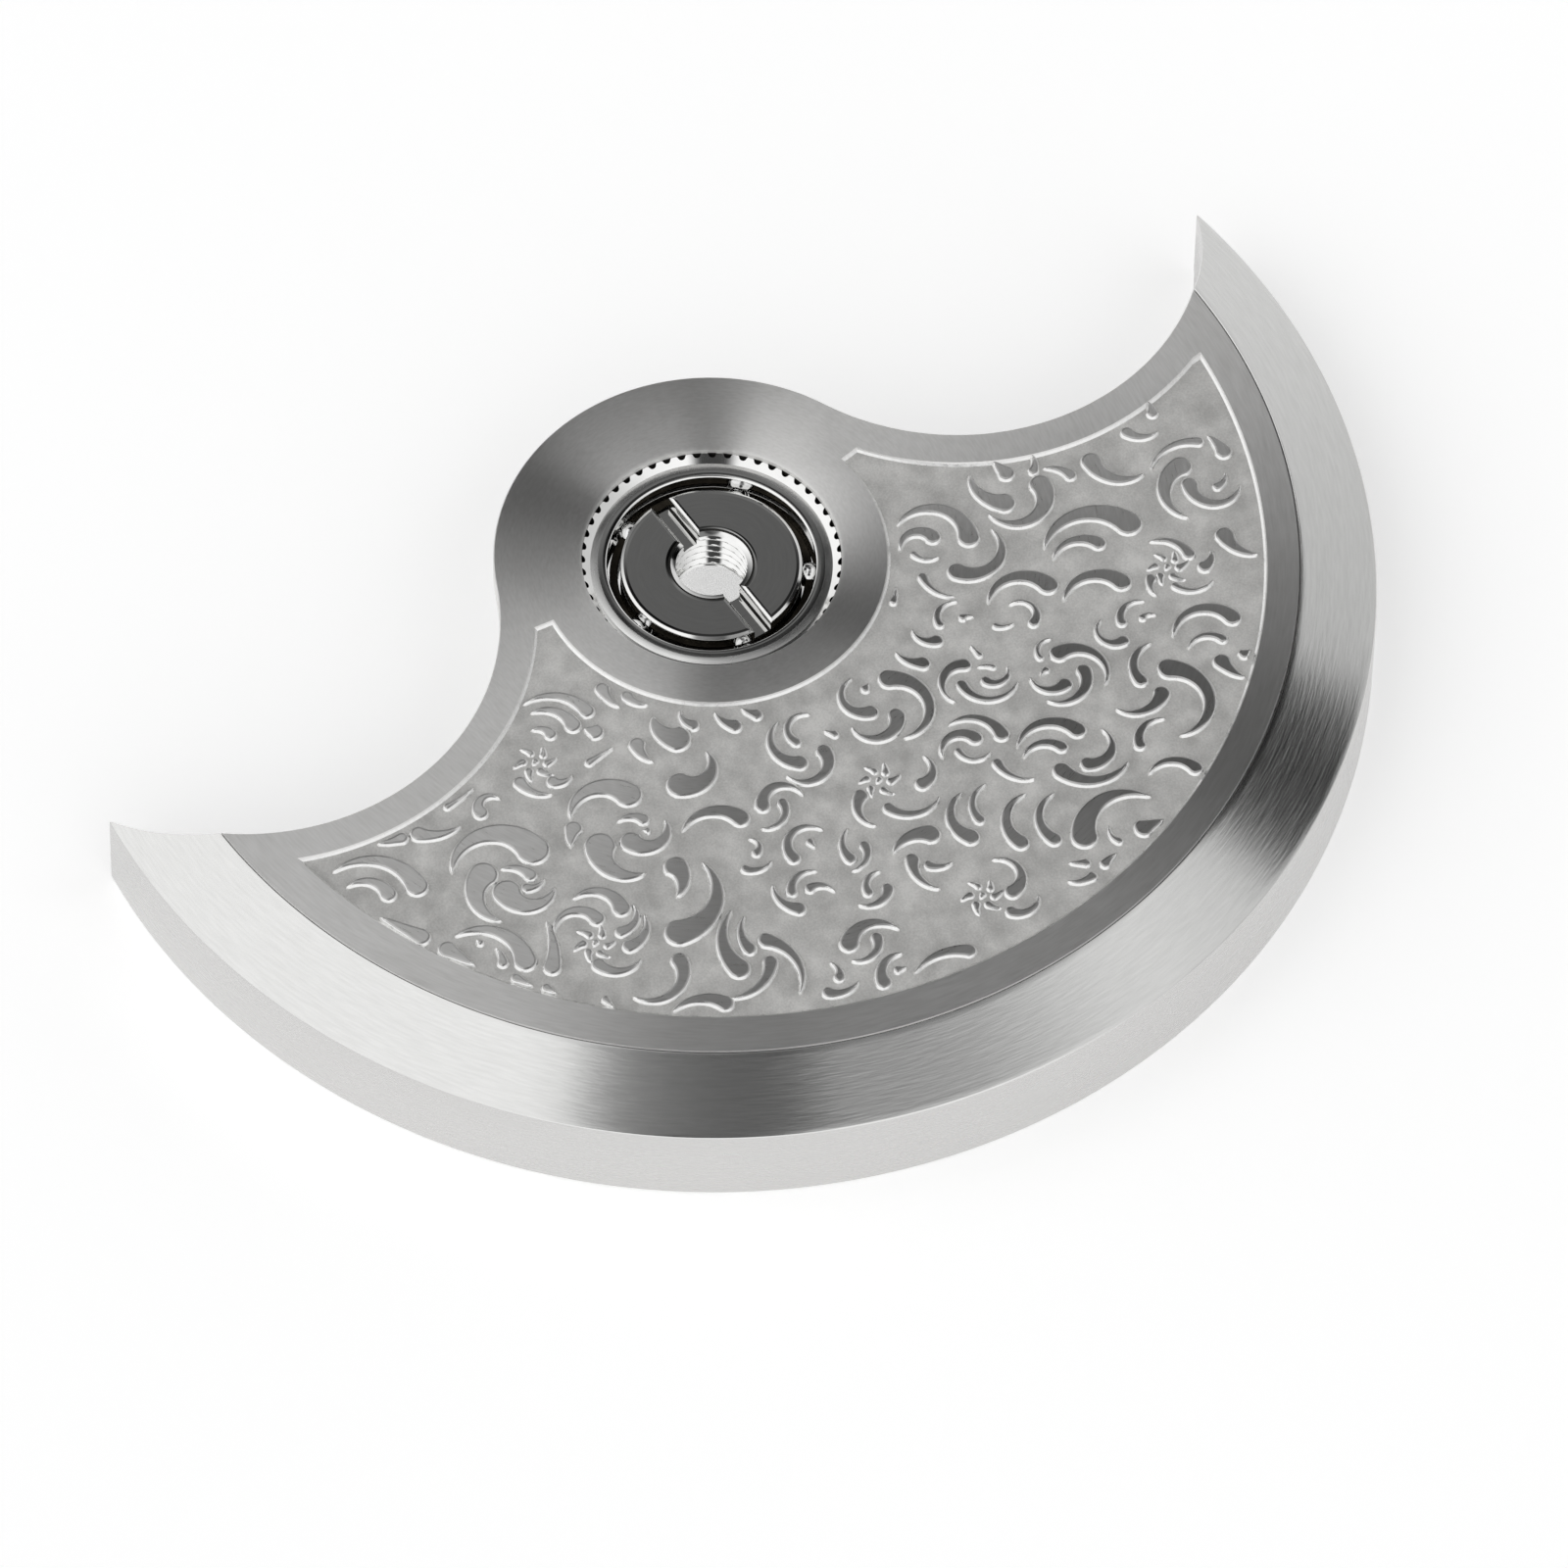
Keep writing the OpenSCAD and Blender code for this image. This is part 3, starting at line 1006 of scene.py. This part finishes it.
def make_cage():
    """The ball cage, with a round pocket for each ball."""
    e = 0.015
    low, high = BALL_Z - CAGE_DROP, BALL_Z + CAGE_RISE
    profile = [
        (CAGE_INNER_R, low + e), (CAGE_INNER_R + e, low), (CAGE_OUTER_R - e, low),
        (CAGE_OUTER_R, low + e), (CAGE_OUTER_R, high - e), (CAGE_OUTER_R - e, high),
        (CAGE_INNER_R + e, high), (CAGE_INNER_R, high - e)
    ]
    cage = raw_object("cage_ring", *lathe(profile, TURNED_STEPS))
    for i in range(BALL_COUNT):
        boolean(cage, raw_object("pocket_cutter", *sphere(ball_place(i), POCKET_R, 40, 20)))
    # The cage's colour is a painted shade: brass darkened to near black.
    finish_piece(cage, "cage", "cage_metal", brass_and_shade, ["ball_cage"])


# Raised ornament: comma shapes that stand on the frosted floor, level with the border.
# Each row has the head's place and radius, the tail's place and the turn of the spine from
# head to tail in degrees, anticlockwise positive.
COMMAS = [
    (-3.45, -1.35, 0.12, -3.42, -1.85, 30), (-3.15, -1.75, 0.10, -2.95, -2.12, 40),
    (-3.62, -2.78, 0.14, -3.60, -3.25, 40), (-2.92, -3.08, 0.26, -3.00, -2.42, -60),
    (-2.48, -3.00, 0.10, -2.50, -2.60, -60), (-1.83, -3.46, 0.12, -1.97, -3.00, -40),
    (-1.34, -3.48, 0.10, -1.50, -3.22, -20), (-3.45, -4.00, 0.25, -2.62, -3.66, 110),
    (-2.93, -5.25, 0.17, -4.00, -4.88, 80), (-2.42, -5.26, 0.13, -1.65, -5.48, -120),
    (-2.07, -5.43, 0.09, -2.72, -5.69, -90), (-1.28, -4.85, 0.14, -1.10, -3.85, -100),
    (-1.07, -4.42, 0.08, -0.52, -4.03, -120), (-0.75, -4.90, 0.14, -1.65, -4.97, -130),
    (-0.36, -4.68, 0.06, -0.48, -4.52, 0), (0.50, -4.65, 0.13, 0.62, -3.82, -140),
    (0.72, -4.15, 0.07, 0.82, -4.10, 0), (0.86, -5.00, 0.15, 0.00, -4.75, -120),
    (1.22, -4.22, 0.19, 0.70, -5.50, -150), (-3.12, -6.08, 0.07, -3.05, -5.75, 100),
    (-3.50, -6.27, 0.07, -3.00, -6.40, 60), (-2.60, -6.57, 0.11, -1.80, -6.33, -130),
    (-2.14, -6.45, 0.06, -2.14, -6.60, 0), (-1.72, -7.18, 0.10, -1.39, -6.60, -60),
    (-1.33, -7.10, 0.09, -1.83, -7.44, -70), (-0.74, -6.12, 0.12, -0.91, -6.83, 80),
    (-0.46, -6.65, 0.10, 0.47, -6.98, 80), (0.38, -6.55, 0.12, 0.76, -6.05, 90),
    (-0.15, -7.57, 0.18, -0.96, -7.53, 60), (-0.76, -7.86, 0.12, -0.72, -8.68, 60),
    (-0.57, -8.14, 0.08, -0.17, -8.33, 50), (-1.87, -8.00, 0.08, -1.43, -7.73, -80),
    (-1.52, -8.14, 0.10, -2.17, -8.14, -80), (-2.83, -8.75, 0.17, -1.87, -9.00, -90),
    (-2.32, -8.94, 0.10, -3.00, -9.10, -90), (-2.78, -9.83, 0.13, -2.13, -9.49, -80),
    (-2.40, -9.75, 0.06, -2.25, -9.80, 0), (-1.04, -10.15, 0.12, -2.17, -9.99, 50),
    (-3.78, -9.44, 0.10, -3.17, -9.55, 60), (-3.41, -9.27, 0.09, -3.37, -8.92, 60),
    (-4.87, -8.05, 0.20, -4.26, -6.90, -60), (-4.46, -7.79, 0.12, -4.13, -7.14, -50),
    (-4.09, -7.81, 0.14, -4.22, -9.14, -70), (-4.30, -8.27, 0.13, -5.35, -8.53, -60),
    (-5.70, -7.27, 0.15, -6.88, -7.47, -110), (-3.17, -7.57, 0.12, -3.28, -6.86, -60),
    (-3.07, -7.18, 0.09, -2.43, -7.05, -80), (-2.74, -7.31, 0.08, -2.39, -7.62, -70),
    (-4.57, -5.50, 0.22, -4.93, -6.05, -60), (-5.35, -6.75, 0.27, -4.10, -5.70, 90),
    (-5.53, -8.55, 0.15, -6.45, -8.15, 60), (-7.35, -7.22, 0.06, -7.33, -7.45, 0),
    (-5.95, -5.68, 0.16, -6.60, -5.00, 90), (-6.47, -5.62, 0.13, -7.30, -5.42, 110),
    (-7.02, -6.50, 0.12, -6.30, -6.85, 80), (-6.30, -6.48, 0.12, -5.68, -6.05, 70),
    (-6.25, -6.12, 0.10, -5.72, -5.75, 80), (-8.12, -5.65, 0.20, -8.90, -4.45, 85),
    (-8.50, -5.45, 0.08, -8.42, -5.10, 30), (-8.60, -4.83, 0.05, -8.62, -4.75, 0),
    (-8.48, -5.88, 0.08, -8.33, -6.18, 0), (-8.13, -6.38, 0.07, -8.05, -6.57, 0),
    (-7.78, -6.05, 0.15, -7.30, -5.15, 25), (-9.45, -4.10, 0.16, -9.84, -3.32, 0),
    (-9.20, -4.62, 0.16, -8.98, -5.18, 0), (-8.88, -3.10, 0.20, -10.00, -1.95, 80),
    (-9.43, -2.95, 0.14, -9.98, -2.38, 80), (-8.20, -2.14, 0.14, -7.45, -2.44, 40),
    (-8.52, -2.04, 0.10, -8.95, -1.90, -10), (-7.40, -1.93, 0.05, -6.78, -1.86, 10),
    (-6.95, -2.40, 0.12, -6.48, -2.32, -150), (-6.60, -3.65, 0.30, -8.15, -3.22, 110),
    (-7.70, -3.60, 0.26, -8.01, -4.64, 85), (-7.55, -4.18, 0.26, -6.75, -4.60, 110),
    (-6.96, -4.10, 0.11, -7.33, -3.68, 50), (-7.18, -4.30, 0.08, -6.80, -4.32, 60),
    (-4.40, -3.62, 0.25, -5.60, -3.45, 100), (-5.50, -4.30, 0.28, -5.15, -5.28, 90),
    (-5.70, -3.69, 0.15, -5.96, -3.99, 20), (-4.95, -4.55, 0.20, -4.15, -4.50, 120),
    (-4.48, -4.25, 0.10, -4.90, -4.02, 60), (-4.56, -4.50, 0.05, -4.62, -4.46, 0),
    (-3.98, -1.60, 0.13, -4.87, -0.80, 70), (-4.38, -1.72, 0.14, -4.87, -1.05, 70),
    (-4.12, -2.08, 0.15, -4.25, -1.92, 0), (-5.95, -2.25, 0.11, -5.60, -2.80, 50),
    (-5.42, -2.58, 0.10, -5.05, -2.66, 70), (-4.85, -1.65, 0.10, -5.08, -1.38, 60),
    (-4.60, -2.60, 0.06, -4.05, -2.57, 0), (2.60, -4.75, 0.12, 1.96, -5.35, 110),
    (2.30, -5.12, 0.10, 3.20, -5.66, 100), (2.74, -5.30, 0.09, 3.25, -5.26, 110),
    (3.03, -5.10, 0.04, 2.80, -4.95, 30), (2.97, -4.72, 0.05, 2.95, -4.47, 0),
    (2.28, -6.45, 0.14, 1.58, -5.73, 80), (1.81, -6.24, 0.13, 1.05, -6.27, 110),
    (1.38, -6.33, 0.06, 1.86, -6.68, 90), (4.25, -5.55, 0.16, 4.58, -6.62, -110),
    (3.90, -5.42, 0.05, 4.30, -5.19, -90), (3.95, -6.20, 0.12, 3.47, -5.72, -90),
    (4.42, -6.15, 0.13, 3.45, -6.33, -100), (3.83, -5.72, 0.05, 3.68, -5.78, 40),
    (5.44, -6.00, 0.10, 5.35, -5.38, -150), (5.66, -5.63, 0.08, 6.28, -5.47, -90),
    (6.05, -5.77, 0.05, 6.28, -5.85, -60), (5.19, -6.93, 0.12, 5.83, -6.34, -80),
    (5.36, -7.40, 0.14, 4.43, -7.23, -80), (5.80, -7.02, 0.21, 5.10, -8.40, -120),
    (4.33, -8.13, 0.10, 5.05, -7.90, -80), (4.90, -9.15, 0.13, 4.10, -8.77, 80),
    (2.25, -9.25, 0.24, 3.80, -9.20, -90), (2.74, -9.70, 0.06, 2.77, -9.33, -60),
    (3.30, -9.73, 0.17, 3.70, -9.78, 0), (1.93, -9.76, 0.07, 1.68, -9.60, 0),
    (1.85, -10.08, 0.08, 1.42, -9.93, -40), (2.22, -9.98, 0.08, 2.52, -9.92, -20),
    (0.40, -9.52, 0.13, 0.52, -8.72, 120), (0.13, -9.88, 0.10, 0.76, -9.86, 90),
    (0.45, -8.05, 0.16, 0.88, -7.14, -90), (0.82, -7.82, 0.09, 1.36, -7.23, -75),
    (1.17, -8.68, 0.15, 1.88, -7.84, -90), (1.74, -8.98, 0.13, 2.32, -8.13, -85),
    (1.84, -6.97, 0.09, 2.20, -7.64, 55), (3.53, -7.18, 0.16, 2.37, -6.87, 90),
    (3.06, -7.33, 0.11, 2.33, -7.13, 80), (2.76, -7.80, 0.17, 3.90, -8.34, 78),
    (3.26, -7.95, 0.14, 3.93, -7.45, 110), (3.62, -4.36, 0.05, 3.92, -4.50, 40),
    (4.25, -4.70, 0.08, 4.12, -4.10, 140), (6.19, -4.86, 0.18, 5.04, -4.60, 90),
    (4.35, -2.38, 0.19, 3.38, -1.38, 110), (3.78, -1.98, 0.14, 3.10, -1.90, 110),
    (3.26, -2.12, 0.05, 3.60, -2.43, 60), (3.10, -2.65, 0.08, 3.32, -3.35, 50),
    (3.72, -2.92, 0.18, 4.82, -2.48, 120), (2.30, -2.80, 0.05, 2.52, -2.56, 20),
    (2.48, -4.00, 0.11, 2.23, -3.55, -70), (2.74, -3.72, 0.07, 3.30, -3.47, -90),
    (3.20, -3.84, 0.06, 3.36, -3.93, -40), (1.96, -4.28, 0.13, 1.67, -3.80, -40),
    (4.98, -4.13, 0.19, 3.80, -3.84, 95), (6.34, -3.88, 0.13, 5.42, -3.70, 80),
    (7.08, -3.82, 0.25, 5.42, -3.40, 90), (6.20, -2.15, 0.20, 4.98, -2.18, -140),
    (5.37, -2.10, 0.20, 5.18, -1.22, -60), (5.80, -1.55, 0.15, 5.75, -1.22, 0),
    (6.27, -1.80, 0.08, 6.45, -1.50, 40), (6.80, -2.28, 0.10, 6.48, -1.88, 40),
    (7.32, -2.25, 0.18, 7.98, -3.05, 80), (8.28, -2.08, 0.10, 8.78, -2.40, 60),
    (8.95, -1.98, 0.09, 9.02, -1.72, 20), (8.68, -3.30, 0.20, 8.10, -4.35, 95),
    (8.58, -3.75, 0.14, 9.38, -4.30, 130), (9.00, -4.08, 0.07, 9.30, -3.92, 50),
    (9.57, -3.48, 0.14, 9.52, -3.02, 20), (9.30, -3.02, 0.08, 8.18, -3.02, 60),
    (7.64, -5.05, 0.11, 7.20, -4.42, 60), (6.71, -5.12, 0.08, 6.56, -5.48, 50),
    (7.72, -5.47, 0.11, 8.03, -5.24, 50), (7.00, -5.52, 0.06, 7.66, -5.83, 70),
    (8.46, -5.10, 0.17, 8.72, -5.80, 50), (7.48, -6.72, 0.16, 6.30, -6.45, 100),
    (7.04, -7.02, 0.08, 6.38, -6.83, 80), (6.73, -7.46, 0.16, 6.87, -7.98, 25),
    (7.18, -7.54, 0.09, 7.32, -7.54, 0),
]
FLOWERS = [(-5.45, -2.02), (-6.80, -6.06), (-0.26, -6.02), (-0.12, -9.27), (7.12, -5.08)]


# How much further a comma curls than its row says, and the most that it may.
CURL = 1.35
MOST_CURL = 168
COMMA_STEPS = 22
# The half width of a comma's tail.
TAIL_R = 0.012
# Layers of a comma from the floor to its top: how far each reaches past the body's half width, and
# its height against the border.
COMMA_LAYERS = (
    (0.034, -FIELD_DEPTH), (0.010, -0.026), (-0.004, -0.012), (-0.020, -0.005), (-0.042, 0.0)
)
CAP_ANGLES = range(-85, 86, 17)
TOP_LEVEL = 0.995


def comma_spine(row):
    """Places from head to tail along an arc, each with its direction and the body's half width."""
    head, tail = Vector(row[0:2]), Vector(row[3:5])
    size, turn = row[2], math.radians(max(-MOST_CURL, min(MOST_CURL, row[5] * CURL)))
    chord = tail - head
    stations = []
    for i in range(COMMA_STEPS + 1):
        t = i / COMMA_STEPS
        if abs(turn) < 0.02:
            place = head + chord * t
            along = chord.normalized()
        else:
            radius = chord.length / (2 * math.sin(abs(turn) / 2))
            sign = math.copysign(1, turn)
            side = Vector((-chord.y, chord.x)).normalized() * sign
            centre = (head + tail) / 2 + side * radius * math.cos(turn / 2)
            spoke = Matrix.Rotation(turn * t, 2) @ (head - centre)
            place = centre + spoke
            along = Vector((-spoke.y, spoke.x)).normalized() * sign
        width = 0.9 * (1 - t) ** 0.75 + 0.1 * max(0, 1 - t / 0.3)
        stations.append((place, along, size * width + TAIL_R))
    return stations


def comma_loop(stations, grow):
    """A comma's outline with its half widths changed by grow, but never cut by more than 70 percent."""
    reaches = [size + max(grow, -0.7 * size) for _, _, size in stations]
    left, right = [], []
    for (place, along, _), reach in zip(stations, reaches):
        side = Vector((-along.y, along.x)) * reach
        left.append(place + side)
        right.append(place - side)
    head, along, _ = stations[0]
    facing = heading((0, 0), -along)
    cap = [head + Vector(polar(reaches[0], facing + a)) for a in CAP_ANGLES]
    tail, along, _ = stations[-1]
    return cap + ordered(cap, left, right, tail + along * reaches[-1])


def add_comma(row, points, faces, relief=1.0):
    """One raised comma: flat top, rounded shoulder and sloped wall."""
    stations = comma_spine(row)
    loops = [comma_loop(stations, grow) for grow, _ in COMMA_LAYERS]
    first = len(points)
    count = len(loops[0])
    for loop, (_, z) in zip(loops, COMMA_LAYERS):
        points += [(p.x, p.y, PLATE_TOP - FIELD_DEPTH + (FIELD_DEPTH + z) * relief) for p in loop]
    faces += [tuple(first + i for i in f) for f in bridge(len(loops), count)]
    add_top(first + (len(loops) - 1) * count, count, faces)


def ordered(cap, left, right, tip):
    """The rest of the outline after the head's cap: along one side, round the tail and back."""
    near = left if (cap[-1] - left[0]).length < (cap[-1] - right[0]).length else right
    far = right if near is left else left
    return near + [tip] + list(reversed(far))


def add_top(top, count, faces):
    """Strips across the flat top, from the head's cap to the tail."""
    cap = len(CAP_ANGLES)
    side = (count - cap - 1) // 2
    start = top + cap
    last = top + count - 1
    for i in range(side - 1):
        faces.append((start + i, start + i + 1, last - i - 1, last - i))
    faces.append((start + side - 1, start + side, start + side + 1))
    faces.append(tuple(range(top, start)) + (start, last))


PETALS = 6
PETAL_HEAD_R = 0.23
PETAL_TIP_R = 0.40
FLOWER_RELIEF = 0.6


def add_flower(x, y, points, faces):
    """A small, shallow flower: slanted petals of uneven length round a short middle one."""
    add_comma((x + 0.03, y + 0.02, 0.03, x - 0.05, y - 0.02, 0), points, faces, FLOWER_RELIEF)
    for petal in range(PETALS):
        uneven = math.sin(12.9 * x + 7.1 * petal)
        angle = petal * 360 / PETALS + 20 + 7 * uneven
        dx, dy = polar(PETAL_HEAD_R, angle)
        tip_x, tip_y = polar(PETAL_TIP_R + 0.03 * uneven, angle + 20)
        size = 0.046 + 0.008 * uneven
        add_comma((x + dx, y + dy, size, x + tip_x, y + tip_y, 20), points, faces, FLOWER_RELIEF)


def make_ornament():
    """All the raised strokes as one piece, with cut walls and shoulders painted darker as shade."""
    points, faces = [], []
    for row in COMMAS:
        add_comma(row, points, faces)
    for x, y in FLOWERS:
        add_flower(x, y, points, faces)
    ornament = make_piece("field_ornament", points, faces, "rotor", "plate_steel", ornament_top)
    paint_walls(ornament, cut_wall, 0.9)
    flatten(ornament, TOP_LEVEL)
    # Painted shade: the shoulders are darker than the tops.
    paint(ornament, shoulder, lambda face: 0.9 <= face.normal.z <= TOP_LEVEL)


make_plate()
make_field()
make_rim()
make_ring()
make_collar()
make_core()
make_cone()
make_cage()
make_balls()
make_ornament()


# Floor, light and world

# What the floor adds to its lit level, so that it reads as white away from the shadow.
FLOOR_LIFT = 0.34


def make_floor():
    """A wide white floor just below the rim, in metres."""
    size = 1.5
    z = (RIM_BOTTOM - 0.001) * MM
    corners = [(-size, -size, z), (size, -size, z), (size, size, z), (-size, size, z)]
    mesh = bpy.data.meshes.new("floor")
    mesh.from_pydata(corners, [], [(0, 1, 2, 3)])
    floor = bpy.data.objects.new("floor", mesh)
    bpy.context.scene.collection.objects.link(floor)
    material, tree, shader = new_material("white_floor")
    shader.inputs["Base Color"].default_value = (0.95, 0.95, 0.95, 1)
    shader.inputs["Roughness"].default_value = 1
    shader.inputs["Specular IOR Level"].default_value = 0
    shader.inputs["Emission Color"].default_value = (1, 1, 1, 1)
    rays = tree.nodes.new("ShaderNodeLightPath")
    sharp = number(tree, "MAXIMUM", rays.outputs["Is Glossy Ray"], rays.outputs["Is Transmission Ray"])
    seen = number(tree, "MAXIMUM", rays.outputs["Is Camera Ray"], sharp)
    tree.links.new(number(tree, "MULTIPLY", seen, FLOOR_LIFT), shader.inputs["Emission Strength"])
    mesh.materials.append(material)


TENT_LIGHT = 1.1
# Dark openings of the white studio tent. Each stands where the photo's camera sees it in a slope
# of the given tilt and facing, in degrees with the camera at -90. Then come the half width of its
# dark, the width of its soft edge and how dark it is.
TENT_OPENINGS = {
    "bevel at the right": (23, -21, 8, 3, 0.98),
    "level faces, near right": (6.5, -44, 7, 13, 0.95),
    "gentle slopes at the right": (13.5, -12, 13, 7, 0.93),
    "gentle slopes, far left": (14, 129, 12, 33, 0.97),
    "bevel, near side": (25, -90, 7, 5, 0.71),
    "gentle slopes, near side": (20, -75, 8, 17, 0.78),
    "steep slopes at the right": (42, -16, 21, 46, 0.40),
    "camera": (34, -90, 9, 7, 0.95),
    "level faces, near left": (4.5, -142, 3, 5, 0.97)
}


def mirrored_way(tilt, facing):
    """The way in which the photo's camera looks after a mirror of this tilt and facing."""
    slope = Vector((*polar(sin(tilt), facing), cos(tilt)))
    camera = Vector((0, -cos(CAMERA_ELEVATION), sin(CAMERA_ELEVATION)))
    return 2 * slope.dot(camera) * slope - camera


def make_world():
    """A white tent with soft dark openings, which the metal reflects. The camera sees white."""
    world = bpy.data.worlds.new("studio")
    bpy.context.scene.world = world
    world.use_nodes = True
    tree = world.node_tree
    tree.nodes.clear()
    output = tree.nodes.new("ShaderNodeOutputWorld")
    background = tree.nodes.new("ShaderNodeBackground")
    background.inputs["Color"].default_value = (1, 1, 1, 1)
    place = tree.nodes.new("ShaderNodeTexCoord").outputs["Generated"]
    turn = Matrix.Rotation(math.radians(CAMERA_AZIMUTH), 3, "Z")
    light = TENT_LIGHT
    for tilt, facing, inner, edge, dark in TENT_OPENINGS.values():
        along = turn @ mirrored_way(tilt, facing)
        shade = tree.nodes.new("ShaderNodeMapRange")
        shade.interpolation_type = "SMOOTHSTEP"
        angle = number(tree, "ARCCOSINE", vector(tree, "DOT_PRODUCT", place, along))
        tree.links.new(angle, shade.inputs["Value"])
        for name, value in (("From Min", math.radians(inner)), ("From Max", math.radians(inner + edge)),
                            ("To Min", 1 - dark), ("To Max", 1)):
            shade.inputs[name].default_value = value
        light = number(tree, "MULTIPLY", shade.outputs["Result"], light)
    rays = tree.nodes.new("ShaderNodeLightPath")
    level = tree.nodes.new("ShaderNodeMix")
    tree.links.new(rays.outputs["Is Camera Ray"], level.inputs["Factor"])
    tree.links.new(light, level.inputs["A"])
    level.inputs["B"].default_value = 1
    tree.links.new(level.outputs["Result"], background.inputs["Strength"])
    tree.links.new(background.outputs[0], output.inputs[0])


make_floor()
make_world()
bpy.context.scene.view_settings.view_transform = "Standard"
